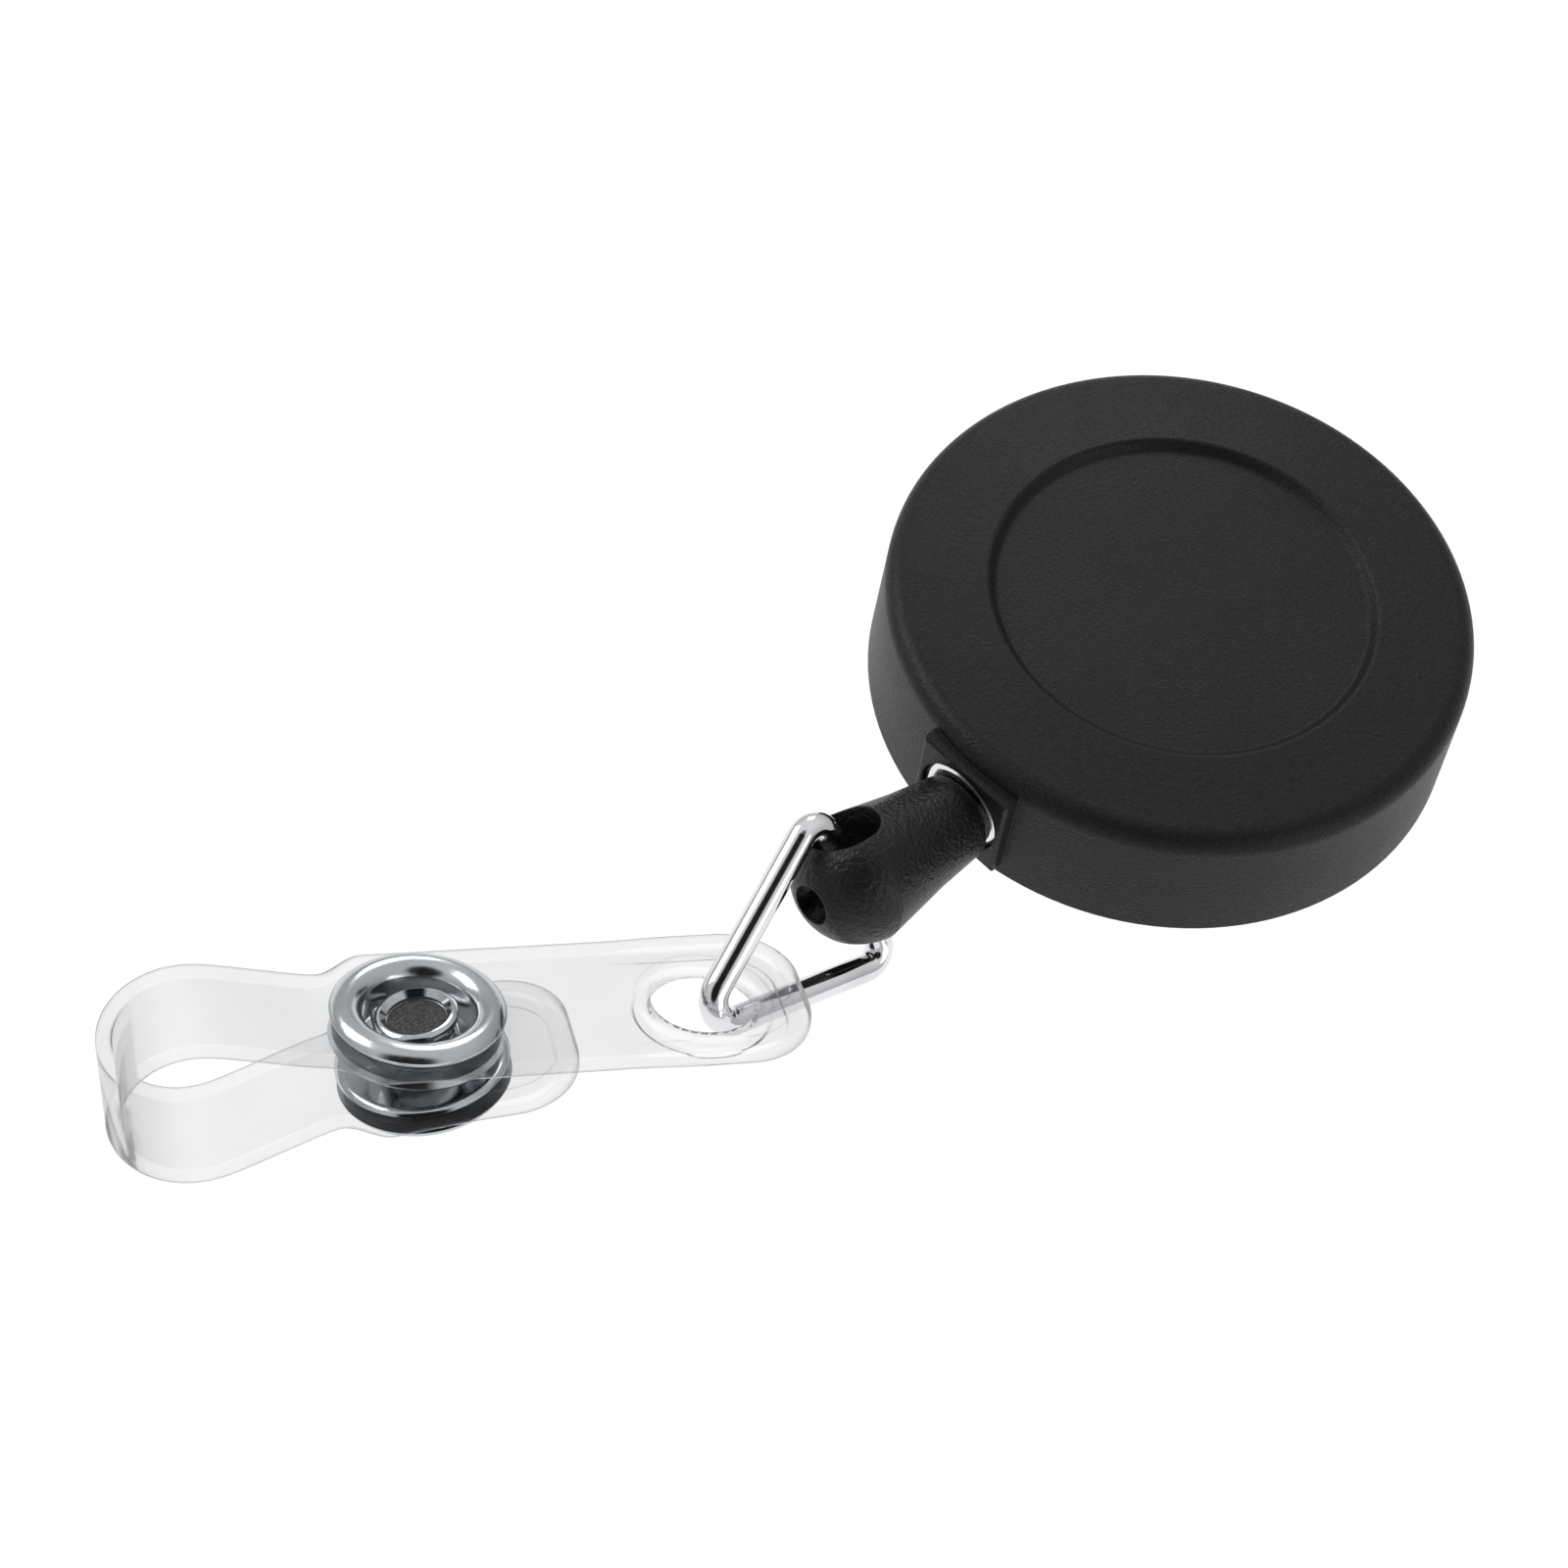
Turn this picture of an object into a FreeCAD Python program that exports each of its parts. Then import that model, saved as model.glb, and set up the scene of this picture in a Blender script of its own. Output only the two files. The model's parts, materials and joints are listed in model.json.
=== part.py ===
"""Retractable badge reel: a round case with a sprung cord spool and a belt clip, a cord-end bullet
that carries a wire ring, and a clear folded strap that closes with a snap fastener.

Frame: origin at the centre of the case's back face, +Z out through the round front face,
and the cord leaves the case towards -Y. All lengths are millimetres.
"""
import FreeCAD, Part
import math
import os
import re
import Sketcher

Vector = FreeCAD.Vector
Placement = FreeCAD.Placement
Rotation = FreeCAD.Rotation

# Driving dimensions, in millimetres and degrees. The names are the sheet's aliases.
SIZES = {
    # Case
    "case_radius": 16.15,
    "case_top_radius": 15.95,
    "case_height": 7.7,
    "case_wall": 1.0,
    "cavity_radius": 14.4,
    "cavity_top": 6.1,
    "edge_rounding": 1.1,
    "face_crown": 0.3,
    "recess_radius": 10.1,
    "recess_slope": 0.45,
    "recess_depth": 0.5,
    "lip_rounding": 0.25,
    "cover_thickness": 1.4,
    "cover_gap": 0.05,
    # Cord outlet
    "boss_half_width": 3.0,
    "boss_half_height": 3.0,
    "boss_height": 3.65,
    "boss_reach": 16.6,
    "boss_root": 15.3,
    "boss_rounding": 0.2,
    "outlet_height": 3.5,
    "outlet_radius": 1.65,
    "counterbore_radius": 2.7,
    "counterbore_depth": 0.4,
    "eyelet_radius": 1.6,
    "eyelet_bore": 1.05,
    "eyelet_flange_radius": 2.6,
    "eyelet_flange": 0.3,
    "eyelet_tube": 1.5,
    # Spool and what turns with it
    "post_radius": 2.2,
    "post_top": 5.9,
    "post_slot": 0.5,
    "slot_depth": 3.6,
    "running_gap": 0.05,
    "spool_floor": 1.6,
    "spool_flange": 0.6,
    "spool_flange_radius": 13.4,
    "spool_top": 5.0,
    "drum_radius": 9.0,
    "drum_wall": 0.8,
    "lid_thickness": 0.5,
    "lid_plug": 0.3,
    "spring_turns": 6.5,
    "spring_thickness": 0.25,
    "spring_width": 2.1,
    "spring_inner_radius": 2.6,
    "spring_outer_radius": 7.6,
    "cord_radius": 0.4,
    "coil_radius": 12.2,
    "coil_gap": 0.1,
    # Bullet on the cord's end
    "bullet_gap": 0.2,
    "bullet_drop": 0.4,
    "bullet_shift": 0.17,
    "bullet_yaw": 2.5,
    "bullet_pitch": 7.45,
    "bullet_rear_radius": 2.4,
    "bullet_waist": 3.2,
    "bullet_waist_radius": 2.8,
    "bullet_shoulder": 7.4,
    "bullet_shoulder_radius": 3.55,
    "bullet_length": 10.45,
    "bullet_nose_radius": 3.5,
    "bullet_rounding": 0.35,
    "bullet_bore": 1.1,
    "bullet_floor": 1.6,
    "cord_hole": 0.85,
    "knot_radius": 1.0,
    "cross_hole": 7.42,
    "cross_hole_radius": 1.9,
    "flare_start": 2.4,
    "flare_end": 4.2,
    "flare_radius": 2.2,
    "swivel": 33.1,
    # Wire ring
    "wire_radius": 0.75,
    "ring_swing": -1.4,
    "ring_tilt": 13.1,
    "ring_slide": -0.37,
    "ring_offset": -0.01,
    "ring_side": -0.11,
    "ring_base": 2.64,
    "ring_shoulder": 5.07,
    "ring_shoulder_rise": 0.33,
    "ring_height": 12.33,
    "ring_bend": 1.0,
    "ring_apex_bend": 1.3,
    "ring_joint_gap": 0.1,
    # Strap
    "strap_width": 9.7,
    "strap_neck": 6.8,
    "strap_flare": 2.0,
    "strap_thickness": 0.8,
    "strap_gap": 2.2,
    "strap_offset": 0.48,
    "strap_end": 5.35,
    "strap_end_rounding": 3.65,
    "strap_ring_hole": 2.65,
    "strap_neck_from_snap": 4.7,
    "flap_end_from_snap": 7.7,
    "flap_end_rounding": 3.6,
    "snap_from_ring_hole": 14.4,
    "fold_from_snap": 10.96,
    "fold_radius": 4.34,
    "fold_drop": 1.22,
    "fold_upper_angle": 78.4,
    "fold_lower_angle": 63.7,
    "flap_tilt": 9.5,
    "flap_pivot": 0.4,
    "strap_yaw": 56.7,
    "strap_pitch": 6.2,
    "strap_roll": -21.1,
    "strap_lead": 0.76,
    "strap_lift": 0.96,
    # Snap fastener
    "snap_radius": 4.35,
    "snap_opening": 2.75,
    "snap_tube": 3.05,
    "snap_tube_gap": 0.05,
    "snap_rim": 0.95,
    "snap_base": 0.55,
    "snap_base_bore": 2.75,
    "stud_neck": 1.7,
    "stud_head": 2.05,
    "stud_bore": 1.5,
    "stud_flange": 0.5,
    "stud_floor": 2.6,
    "stud_skin": 0.2,
    "stud_rise": 0.3,
    "post_shank": 1.1,
    "post_cap": 0.6,
    "shank_gap": 0.05,
    "snap_wire": 0.17,
    "snap_wire_reach": 1.95,
    "snap_wire_depth": 0.8,
    # Belt clip
    "clip_width": 11.0,
    "clip_sheet": 0.6,
    "clip_bend": 2.3,
    "clip_bend_place": 11.2,
    "clip_plate_end": 8.0,
    "clip_pinch_place": 7.0,
    "clip_pinch": 0.2,
    "clip_tip_place": 10.4,
    "clip_tip_drop": 1.9,
    "clip_joint_gap": 0.08,
    "rivet_radius": 1.0,
    "rivet_gap": 0.05,
    "rivet_head_radius": 2.3,
    "rivet_head": 0.5,
    "rivet_depth": 2.0,
}

doc = FreeCAD.newDocument("badge_reel")
sheet = doc.addObject("Spreadsheet::Sheet", "Sheet")


def fill_sheet():
    """Write each driving dimension to its own row, with its alias."""
    for row, (alias, size) in enumerate(SIZES.items(), start=1):
        sheet.set(f"A{row}", alias)
        sheet.set(f"B{row}", str(size))
        sheet.setAlias(f"B{row}", alias)
    doc.recompute()


def linked(formula):
    """The same formula with every sheet alias in it pointed at the sheet."""
    def point(word):
        return "Sheet." + word.group() if word.group() in SIZES else word.group()
    return re.sub(r"[a-z_]\w*", point, formula)


def value(formula):
    """The number that a formula of sheet aliases gives."""
    return float(sheet.evalExpression(linked(formula)))


def tie(sketch, constraint, formula):
    """Add a dimension to a sketch and bind it to a formula of sheet aliases."""
    index = sketch.addConstraint(constraint)
    sketch.setExpression(f"Constraints[{index}]", linked(formula))


def place_point(sketch, geometry, point, x, y):
    """Fix one point of a sketch's geometry at two formulas from the sketch's origin."""
    tie(sketch, Sketcher.Constraint("DistanceX", -1, 1, geometry, point, value(x)), x)
    tie(sketch, Sketcher.Constraint("DistanceY", -1, 1, geometry, point, value(y)), y)


def arc_between(start, end, radius, side):
    """The shorter arc from start to end that bulges to the left or right of the way it runs."""
    chord = end - start
    sagitta = radius - math.sqrt(radius ** 2 - (chord.Length / 2) ** 2)
    left = Vector(-chord.y, chord.x, 0).normalize()
    turn = 1 if side == "left" else -1
    return Part.Arc(start, (start + end) / 2 + left * (sagitta * turn), end)


def draw_outline(sketch, corners):
    """Draw a closed outline. A corner is (x, y), and (x, y, radius, side) ends an arc there."""
    points = [Vector(value(corner[0]), value(corner[1]), 0) for corner in corners]
    first = sketch.GeometryCount
    count = len(corners)
    ends = []
    for index in range(count):
        following = corners[(index + 1) % count]
        start = points[index]
        end = points[(index + 1) % count]
        if len(following) == 2:
            sketch.addGeometry(Part.LineSegment(start, end))
            ends.append((1, 2))
        else:
            sketch.addGeometry(arc_between(start, end, value(following[2]), following[3]))
            # An arc's own points run anticlockwise, so one that bulges left is stored reversed.
            ends.append((2, 1) if following[3] == "left" else (1, 2))
    for index in range(count):
        last = (index + 1) % count
        sketch.addConstraint(Sketcher.Constraint(
            "Coincident", first + index, ends[index][1], first + last, ends[last][0]))
    for index, corner in enumerate(corners):
        place_point(sketch, first + index, ends[index][0], corner[0], corner[1])
        if len(corner) == 4:
            arc = first + (index - 1) % count
            tie(sketch, Sketcher.Constraint("Radius", arc, value(corner[2])), corner[2])


def draw_circle(sketch, x, y, radius):
    """Draw a circle whose centre and radius are formulas."""
    circle = sketch.addGeometry(Part.Circle(Vector(value(x), value(y), 0), Vector(0, 0, 1), value(radius)))
    place_point(sketch, circle, 3, x, y)
    tie(sketch, Sketcher.Constraint("Radius", circle, value(radius)), radius)


def new_body(label):
    """A PartDesign body whose label names its file."""
    body = doc.addObject("PartDesign::Body", label)
    body.Label = label
    return body


def new_sketch(body, plane, offset="0"):
    """A sketch on one of the body's own origin planes, moved out along the plane's normal."""
    sketch = body.newObject("Sketcher::SketchObject", body.Label + "_sketch")
    support = [feature for feature in body.Origin.OriginFeatures if feature.Role == plane][0]
    sketch.AttachmentSupport = [(support, "")]
    sketch.MapMode = "FlatFace"
    sketch.setExpression("AttachmentOffset.Base.z", linked(offset))
    return sketch


def revolve(label, corners):
    """A body turned from a half outline of (radius, height) corners about its own Z axis."""
    body = new_body(label)
    sketch = new_sketch(body, "XZ_Plane")
    draw_outline(sketch, corners)
    turned = body.newObject("PartDesign::Revolution", label + "_turned")
    turned.Profile = sketch
    turned.ReferenceAxis = (sketch, ["V_Axis"])
    turned.Angle = 360
    doc.recompute()
    return body


def extrude(body, sketch, length, midplane=False):
    """Pad a sketch along its normal, or to both sides of it."""
    pad = body.newObject("PartDesign::Pad", body.Label + "_pad")
    pad.Profile = sketch
    pad.setExpression("Length", linked(length))
    pad.Midplane = midplane
    doc.recompute()
    return pad


def cut_pocket(body, sketch, length, midplane=False):
    """Cut a sketch into a body, and make sure that the cut removed something."""
    before = body.Shape.Volume
    pocket = body.newObject("PartDesign::Pocket", body.Label + "_pocket")
    pocket.Profile = sketch
    pocket.setExpression("Length", linked(length))
    pocket.Midplane = midplane
    doc.recompute()
    check_cut(body, before)
    return pocket


def check_cut(body, before):
    """Stop if a cut left the body's volume as it was."""
    if body.Shape.Volume > before - 1e-6:
        raise RuntimeError(f"{body.Label}: a cut removed nothing")


def round_edges(body, radius, points):
    """Round every edge of the body that passes through one of the given points."""
    tip = body.Tip
    names = []
    for number, edge in enumerate(tip.Shape.Edges, start=1):
        if any(edge.distToShape(Part.Vertex(point))[0] < 1e-4 for point in points):
            names.append(f"Edge{number}")
    fillet = body.newObject("PartDesign::Fillet", body.Label + "_fillet")
    fillet.Base = (tip, names)
    fillet.setExpression("Radius", linked(radius))
    doc.recompute()
    return fillet


def add_feature(label, shape, placement=None):
    """A plain feature for a swept piece, with its placement set after its shape."""
    feature = doc.addObject("Part::Feature", label)
    feature.Label = label
    feature.Shape = shape
    if placement is not None:
        feature.Placement = placement
    return feature


def rounded_path(points, radii):
    """An open wire through points, with an arc of the given radius at each inner corner."""
    edges = []
    here = points[0]
    for before, corner, after, radius in zip(points, points[1:], points[2:], radii):
        back = (before - corner).normalize()
        ahead = (after - corner).normalize()
        half_angle = back.getAngle(ahead) / 2
        reach = radius / math.tan(half_angle)
        centre = corner + (back + ahead).normalize() * (radius / math.sin(half_angle))
        start = corner + back * reach
        end = corner + ahead * reach
        middle = centre + (corner - centre).normalize() * radius
        edges.append(Part.LineSegment(here, start).toShape())
        edges.append(Part.Arc(start, middle, end).toShape())
        here = end
    edges.append(Part.LineSegment(here, points[-1]).toShape())
    return Part.Wire(edges)


def sweep_round(path, radius):
    """A round rod of the given radius along a wire."""
    first = path.Edges[0]
    start = first.valueAt(first.FirstParameter)
    along = first.tangentAt(first.FirstParameter)
    profile = Part.Wire(Part.Circle(start, along, radius).toShape())
    return path.makePipeShell([profile], True, False)


# ---------------------------------------------------------------- places of the moving groups


def outlet_placement():
    """At the middle of the boss face, with local Z out along the cord and local X up."""
    upright = Rotation(Vector(0, 0, 1), Vector(-1, 0, 0), Vector(0, -1, 0), "ZXY")
    return Placement(Vector(0, -value("boss_reach"), value("outlet_height")), upright)


def bullet_placement():
    """Just outside the outlet and slightly askew, turned to rest, with local X along the cross hole."""
    across = Rotation(Vector(1, 0, 0), -value("bullet_yaw"))
    upwards = Rotation(Vector(0, 1, 0), value("bullet_pitch"))
    turned = Rotation(Vector(0, 0, 1), value("swivel"))
    outside = Vector(-value("bullet_drop"), -value("bullet_shift"), value("bullet_gap"))
    return outlet_placement().multiply(Placement(outside, across.multiply(upwards).multiply(turned)))


def ring_placement():
    """Local X along the ring's base, local Y towards its apex, origin at the base's middle."""
    in_hole = Placement(Vector(0, 0, value("cross_hole")), Rotation(Vector(1, 0, 0), value("ring_swing")))
    on_edge = Placement(Vector(), Rotation(Vector(1, 0, 0), 90))
    seat = Vector(value("ring_slide"), value("ring_offset"), value("ring_side"))
    tilted = Placement(seat, Rotation(Vector(0, 0, 1), value("ring_tilt")))
    return bullet_placement().multiply(in_hole).multiply(on_edge).multiply(tilted)


def ring_apex():
    """The wire's centre at the ring's apex, in the ring's own frame."""
    run = value("ring_height - ring_shoulder_rise")
    half_angle = math.atan2(value("ring_shoulder"), run)
    shortfall = value("ring_apex_bend") * (1 / math.sin(half_angle) - 1)
    return Vector(0, value("ring_height") - shortfall, 0)


def strap_placement():
    """At the middle of the ring hole on the strap's top face, with local X towards the ring end."""
    turn = Rotation(value("strap_yaw"), value("strap_pitch"), value("strap_roll"))
    apex = ring_placement().multVec(ring_apex())
    wire_in_strap = Vector(value("strap_lead"), 0, -value("strap_lift"))
    return Placement(apex - turn.multVec(wire_in_strap), turn)


def snap_placement():
    """On the strap's top face at the middle of the snap."""
    return strap_placement().multiply(Placement(Vector(-value("snap_from_ring_hole"), 0, 0), Rotation()))


def flap_placement():
    """The snap's place with the flap's tilt about the stud's grip in the socket."""
    grip = Placement(Vector(0, 0, -value("flap_pivot")), Rotation(Vector(0, 1, 0), -value("flap_tilt")))
    back = Placement(Vector(0, 0, value("flap_pivot")), Rotation())
    return snap_placement().multiply(grip).multiply(back)


# ---------------------------------------------------------------- case


def front_cover():
    """Shell with the whole side wall, a crowned face with a round recess, and the cord boss."""
    body = revolve("front_cover", [
        ("case_radius - case_wall", "0"),
        ("case_radius", "0"),
        ("case_top_radius", "case_height"),
        ("recess_radius + recess_slope", "case_height + face_crown"),
        ("recess_radius", "case_height + face_crown - recess_depth"),
        ("0", "case_height + face_crown - recess_depth"),
        ("0", "cavity_top"),
        ("cavity_radius", "cavity_top"),
        ("cavity_radius", "cover_thickness"),
        ("case_radius - case_wall", "cover_thickness"),
    ])
    sketch = new_sketch(body, "XZ_Plane", "boss_root")
    left = "-boss_half_width"
    low = "boss_height - boss_half_height"
    high = "boss_height + boss_half_height"
    draw_outline(sketch, [(left, low), ("boss_half_width", low), ("boss_half_width", high), (left, high)])
    extrude(body, sketch, "boss_reach - boss_root")
    bore_boss(body, "outlet_radius", "boss_reach - cavity_radius + 2 * case_wall")
    bore_boss(body, "counterbore_radius", "counterbore_depth + case_wall")
    round_edges(body, "edge_rounding", [Vector(0, value("case_top_radius"), value("case_height"))])
    crown = value("case_height + face_crown")
    round_edges(body, "lip_rounding", [
        Vector(value("recess_radius + recess_slope"), 0, crown),
        Vector(value("recess_radius"), 0, crown - value("recess_depth")),
    ])
    face = -value("boss_reach")
    side = value("boss_half_width")
    round_edges(body, "boss_rounding", [
        Vector(0, face, value(low)),
        Vector(0, face, value(high)),
        Vector(side, face, value("boss_height")),
        Vector(-side, face, value("boss_height")),
    ])


def bore_boss(body, radius, depth):
    """Bore the boss from one wall thickness outside its face, inwards along the cord's line."""
    sketch = new_sketch(body, "XZ_Plane", "boss_reach + case_wall")
    draw_circle(sketch, "0", "outlet_height", radius)
    cut_pocket(body, sketch, depth)


def rear_cover():
    """Inset back disc with the spool's post, which is slotted for the spring's inner end."""
    body = revolve("rear_cover", [
        ("rivet_radius + rivet_gap", "0"),
        ("case_radius - case_wall - cover_gap", "0"),
        ("case_radius - case_wall - cover_gap", "cover_thickness"),
        ("post_radius", "cover_thickness"),
        ("post_radius", "post_top"),
        ("0", "post_top"),
        ("0", "rivet_depth + 2 * rivet_gap"),
        ("rivet_radius + rivet_gap", "rivet_depth + 2 * rivet_gap"),
    ])
    sketch = new_sketch(body, "XY_Plane", "post_top")
    draw_outline(sketch, [
        ("0", "-post_slot / 2"),
        ("2 * post_radius", "-post_slot / 2"),
        ("2 * post_radius", "post_slot / 2"),
        ("0", "post_slot / 2"),
    ])
    cut_pocket(body, sketch, "slot_depth")
    rim = Vector(value("case_radius - case_wall - cover_gap"), 0, 0)
    round_edges(body, "lip_rounding", [rim])


def outlet_eyelet():
    """Flanged metal eyelet that lines the cord outlet."""
    body = revolve("outlet_eyelet", [
        ("eyelet_bore", "-counterbore_depth - eyelet_tube"),
        ("eyelet_radius", "-counterbore_depth - eyelet_tube"),
        ("eyelet_radius", "-counterbore_depth"),
        ("eyelet_flange_radius", "-counterbore_depth"),
        ("eyelet_flange_radius", "eyelet_flange / 2 - counterbore_depth"),
        ("eyelet_flange_radius - eyelet_flange", "eyelet_flange - counterbore_depth"),
        ("eyelet_bore + eyelet_flange", "eyelet_flange - counterbore_depth"),
        ("eyelet_bore", "-counterbore_depth", "eyelet_flange", "left"),
    ])
    body.Placement = outlet_placement()


# ---------------------------------------------------------------- spool


def spool():
    """Cord bobbin: two flanges, a drum and the well that holds the spring."""
    revolve("spool", [
        ("post_radius + running_gap", "spool_floor"),
        ("spool_flange_radius", "spool_floor"),
        ("spool_flange_radius", "spool_floor + spool_flange"),
        ("drum_radius", "spool_floor + spool_flange"),
        ("drum_radius", "spool_top - spool_flange"),
        ("spool_flange_radius", "spool_top - spool_flange"),
        ("spool_flange_radius", "spool_top"),
        ("drum_radius - drum_wall", "spool_top"),
        ("drum_radius - drum_wall", "spool_floor + spool_flange"),
        ("post_radius + running_gap", "spool_floor + spool_flange"),
    ])


def spool_lid():
    """Disc that closes the spring well, with a plug that centres it."""
    revolve("spool_lid", [
        ("post_radius + running_gap", "spool_top - lid_plug"),
        ("drum_radius - drum_wall - running_gap", "spool_top - lid_plug"),
        ("drum_radius - drum_wall - running_gap", "spool_top"),
        ("drum_radius", "spool_top"),
        ("drum_radius", "spool_top + lid_thickness"),
        ("post_radius + running_gap", "spool_top + lid_thickness"),
    ])


def spiral(offset):
    """Curve of the power spring's strip, moved out by offset from its inner side."""
    points_per_turn = 16
    turns = value("spring_turns")
    inner = value("spring_inner_radius") + offset
    growth = value("spring_outer_radius - spring_inner_radius") / turns
    points = []
    for index in range(int(turns * points_per_turn) + 1):
        turn = index / points_per_turn
        radius = inner + growth * turn
        angle = 2 * math.pi * turn
        points.append(Vector(radius * math.cos(angle), radius * math.sin(angle), 0))
    curve = Part.BSplineCurve()
    curve.interpolate(points)
    return curve.toShape(), points[0], points[-1]


def power_spring():
    """Flat spiral strip, with its inner tab in the post's slot."""
    thickness = value("spring_thickness")
    inner, inner_start, inner_end = spiral(0)
    outer, outer_start, outer_end = spiral(thickness)
    first_cap = Part.LineSegment(outer_start, inner_start).toShape()
    last_cap = Part.LineSegment(inner_end, outer_end).toShape()
    wire = Part.Wire([inner, last_cap, outer.reversed(), first_cap])
    strip = Part.Face(wire).extrude(Vector(0, 0, value("spring_width")))
    tab_start = value("post_radius / 2")
    tab = Part.makeBox(outer_start.x - tab_start, thickness, value("spring_width"))
    tab.translate(Vector(tab_start, -thickness / 2, 0))
    raised = Placement(Vector(0, 0, value("spool_floor + spool_flange + lid_plug")), Rotation())
    add_feature("power_spring", strip.fuse(tab).removeSplitter(), raised)


def cord_coil():
    """The cord wound on the drum, as one ring."""
    revolve("cord_coil", [
        ("drum_radius + coil_gap", "spool_floor + spool_flange + coil_gap"),
        ("coil_radius", "spool_floor + spool_flange + coil_gap"),
        ("coil_radius", "spool_top - spool_flange - coil_gap"),
        ("drum_radius + coil_gap", "spool_top - spool_flange - coil_gap"),
    ])


def cord_run():
    """The cord from where it leaves the coil, through the eyelet, to the knot in the bullet."""
    reach = value("cavity_radius") - value("coil_gap")
    coil = value("coil_radius + cord_radius + coil_gap / 2")
    height = value("outlet_height")
    leave = math.acos(coil / reach) - math.pi / 2
    bend = value("2 * cord_radius")
    points = [
        Vector(coil * math.cos(leave), coil * math.sin(leave), height),
        Vector(0, -reach, height),
        Vector(0, -value("boss_reach - bullet_gap"), height),
        bullet_placement().multVec(Vector(0, 0, value("bullet_floor - cord_radius / 8"))),
    ]
    path = rounded_path(points, [bend, bend])
    add_feature("cord_run", sweep_round(path, value("cord_radius")))


# ---------------------------------------------------------------- cord end


def cord_knot():
    """The knot that holds the cord in the bullet."""
    knot = doc.addObject("Part::Sphere", "cord_knot")
    knot.Label = "cord_knot"
    knot.setExpression("Radius", linked("knot_radius"))
    seat = Placement(Vector(0, 0, value("bullet_floor + knot_radius")), Rotation())
    knot.Placement = bullet_placement().multiply(seat)


def cord_end_bullet():
    """Flared plug with a domed nose, bored for the knot and cross-drilled for the wire ring."""
    body = revolve("cord_end_bullet", [
        ("cord_hole", "0"),
        ("bullet_rear_radius", "0"),
        ("bullet_waist_radius", "bullet_waist"),
        ("bullet_shoulder_radius", "bullet_shoulder"),
        ("bullet_bore", "bullet_length", "bullet_nose_radius", "right"),
        ("bullet_bore", "bullet_floor"),
        ("cord_hole", "bullet_floor"),
    ])
    before = body.Shape.Volume
    sketch = new_sketch(body, "XZ_Plane")
    draw_outline(sketch, [
        ("-flare_end", "cross_hole"),
        ("flare_end", "cross_hole"),
        ("flare_end", "cross_hole + flare_radius"),
        ("flare_start", "cross_hole + cross_hole_radius"),
        ("-flare_start", "cross_hole + cross_hole_radius"),
        ("-flare_end", "cross_hole + flare_radius"),
    ])
    groove = body.newObject("PartDesign::Groove", "cross_hole")
    groove.Profile = sketch
    groove.ReferenceAxis = (sketch, ["Edge1"])
    groove.Angle = 360
    doc.recompute()
    check_cut(body, before)
    round_edges(body, "bullet_rounding", [Vector(value("bullet_rear_radius"), 0, 0)])
    body.Placement = bullet_placement()


def wire_ring():
    """Bent wire triangle whose base passes through the bullet and whose ends meet inside it."""
    base = value("ring_base")
    shoulder = Vector(value("ring_shoulder"), value("ring_shoulder_rise"), 0)
    gap = value("ring_joint_gap")
    points = [
        Vector(gap, 0, 0),
        Vector(base, 0, 0),
        shoulder,
        Vector(0, value("ring_height"), 0),
        Vector(-shoulder.x, shoulder.y, 0),
        Vector(-base, 0, 0),
        Vector(-gap, 0, 0),
    ]
    bend = value("ring_bend")
    path = rounded_path(points, [bend, bend, value("ring_apex_bend"), bend, bend])
    add_feature("wire_ring", sweep_round(path, value("wire_radius")), ring_placement())


# ---------------------------------------------------------------- strap


NECK = "-(snap_from_ring_hole + strap_neck_from_snap)"


def strap_leg(label, neck, end, rounding, holes, lower_face, placement):
    """A flat leg of the strap: narrow at the fold, wide at the snap, with a rounded free end."""
    body = new_body(label)
    sketch = new_sketch(body, "XY_Plane", lower_face)
    near = "strap_offset - strap_width / 2"
    far = "strap_offset + strap_width / 2"
    draw_outline(sketch, [
        (neck, "strap_offset - strap_neck / 2"),
        (neck + " + strap_flare", near),
        (end + " - " + rounding, near),
        (end, near + " + " + rounding, rounding, "right"),
        (end, far + " - " + rounding),
        (end + " - " + rounding, far, rounding, "right"),
        (neck + " + strap_flare", far),
        (neck, "strap_offset + strap_neck / 2"),
    ])
    for x, radius in holes:
        draw_circle(sketch, x, "0", radius)
    extrude(body, sketch, "strap_thickness")
    body.Placement = placement


def strap_legs():
    """The long leg with the ring and socket holes, and the short flap with the stud's hole."""
    snap = "-snap_from_ring_hole"
    socket_hole = "snap_tube + snap_tube_gap"
    shank_hole = "post_shank + shank_gap"
    strap_leg("strap_long_leg", NECK, "strap_end", "strap_end_rounding",
              [("0", "strap_ring_hole"), (snap, socket_hole)], "-strap_thickness", strap_placement())
    strap_leg("strap_short_leg", "-strap_neck_from_snap", "flap_end_from_snap", "flap_end_rounding",
              [("0", shank_hole)], "-2 * strap_thickness - strap_gap", flap_placement())


def flap_neck(height):
    """Where a height of the flap's neck stands in the long leg's frame."""
    above_grip = "(" + height + " + flap_pivot)"
    along = "-strap_neck_from_snap"
    return ("-snap_from_ring_hole + " + along + " * cos(flap_tilt) - " + above_grip + " * sin(flap_tilt)",
            "-flap_pivot + " + along + " * sin(flap_tilt) + " + above_grip + " * cos(flap_tilt)")


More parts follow.
